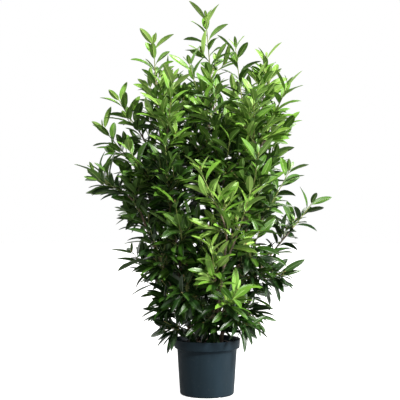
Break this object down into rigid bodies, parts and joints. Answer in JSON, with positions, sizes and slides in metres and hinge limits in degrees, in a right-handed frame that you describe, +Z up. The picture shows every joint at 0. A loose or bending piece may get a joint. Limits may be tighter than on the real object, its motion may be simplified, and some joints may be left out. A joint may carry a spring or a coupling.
{
  "type": "potted cherry laurel shrub",
  "caption": "Upright narrow-leaved evergreen cherry laurel shrub with several stems and a dense leafy crown, growing in a round plastic nursery pot.",
  "frame": {"origin": "centre of the pot's flat underside, on the ground", "axes": "+Z up along the pot's axis and the plant's height, +X to the right as the picture shows it, -Y towards the viewer"},
  "size_m": [1.0725, 0.8276, 1.5557],
  "materials": {
    "pot_plastic": "satin",
    "potting_soil": "matte",
    "bark": "matte",
    "foliage": "satin"
  },
  "bodies": {
    "root": {"bough_back_right": "bark", "bough_front": "bark", "bough_left_low": "bark", "bough_left_mid": "bark", "bough_left_tall": "bark", "bough_left_wide": "bark", "bough_right_tall": "bark", "bough_right_wide": "bark", "mass_back_foot": "foliage", "mass_back_left_low": "foliage", "mass_back_right": "foliage", "mass_back_right_low": "foliage", "mass_back_right_top": "foliage", "mass_back_top": "foliage", "mass_centre_back": "foliage", "mass_centre_front": "foliage", "mass_core": "foliage", "mass_core_top": "foliage", "mass_front_foot": "foliage", "mass_front_left": "foliage", "mass_front_left_foot": "foliage", "mass_front_low": "foliage", "mass_front_right": "foliage", "mass_front_skirt": "foliage", "mass_front_top": "foliage", "mass_heart": "foliage", "mass_left_back": "foliage", "mass_left_foot": "foliage", "mass_left_front": "foliage", "mass_left_front_top": "foliage", "mass_left_heart": "foliage", "mass_left_inner": "foliage", "mass_left_low": "foliage", "mass_left_mid": "foliage", "mass_left_reach": "foliage", "mass_left_shoulder": "foliage", "mass_left_skirt": "foliage", "mass_left_top": "foliage", "mass_left_upper": "foliage", "mass_right_crest": "foliage", "mass_right_foot": "foliage", "mass_right_front": "foliage", "mass_right_front_top": "foliage", "mass_right_heart": "foliage", "mass_right_low": "foliage", "mass_right_mid": "foliage", "mass_right_reach": "foliage", "mass_right_shoulder": "foliage", "mass_right_skirt": "foliage", "mass_right_top": "foliage", "mass_right_upper": "foliage", "mass_top": "foliage", "mass_top_inner": "foliage", "mass_top_right": "foliage", "pot": "pot_plastic", "soil": "potting_soil", "stem_back": "bark", "stem_centre": "bark", "stem_left": "bark", "stem_right": "bark"}
  },
  "joints": []
}
